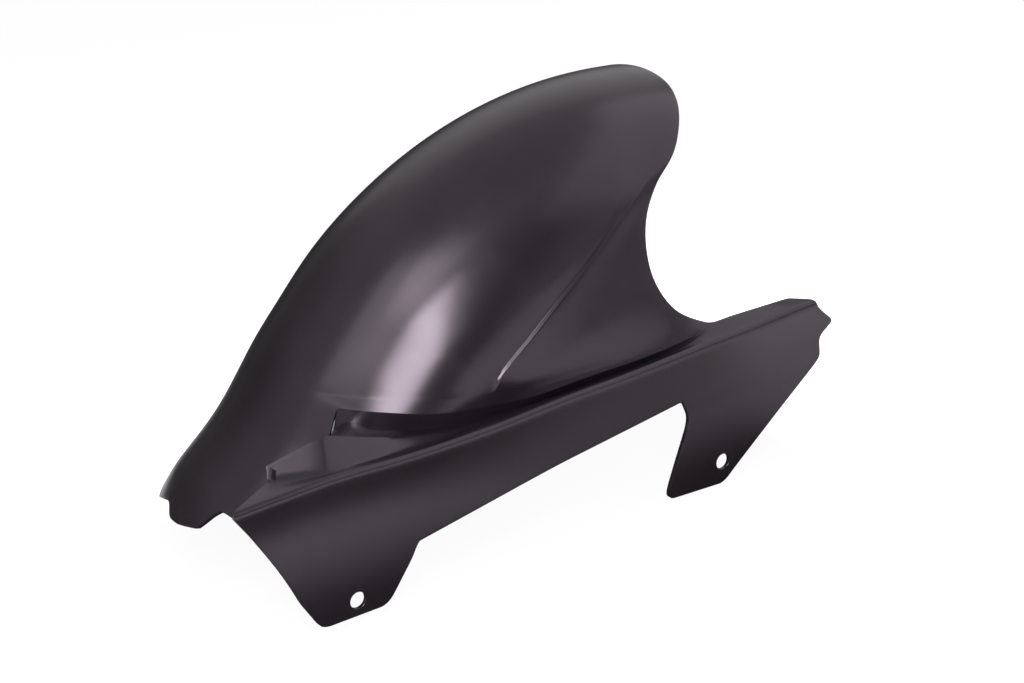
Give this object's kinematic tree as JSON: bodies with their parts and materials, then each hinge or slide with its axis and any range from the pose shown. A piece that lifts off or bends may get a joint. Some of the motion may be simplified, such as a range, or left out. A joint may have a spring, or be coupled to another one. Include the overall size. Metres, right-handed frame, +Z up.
{
  "type": "rear hugger mudguard",
  "caption": "Moulded rear hugger mudguard for a motorcycle: an arch over the tyre joined by a side web to a chain guard with mounting tabs.",
  "frame": {"origin": "front mounting hole, on the outer face of its tab", "axes": "+X rearward through the rear mounting hole, +Y to the right-hand side of the bike (inward from the tabs), +Z up"},
  "size_m": [0.4946, 0.2247, 0.2809],
  "materials": {
    "shell": "satin black ABS with a very fine moulded grain"
  },
  "bodies": {
    "root": {"mudguard": "shell"}
  },
  "joints": []
}
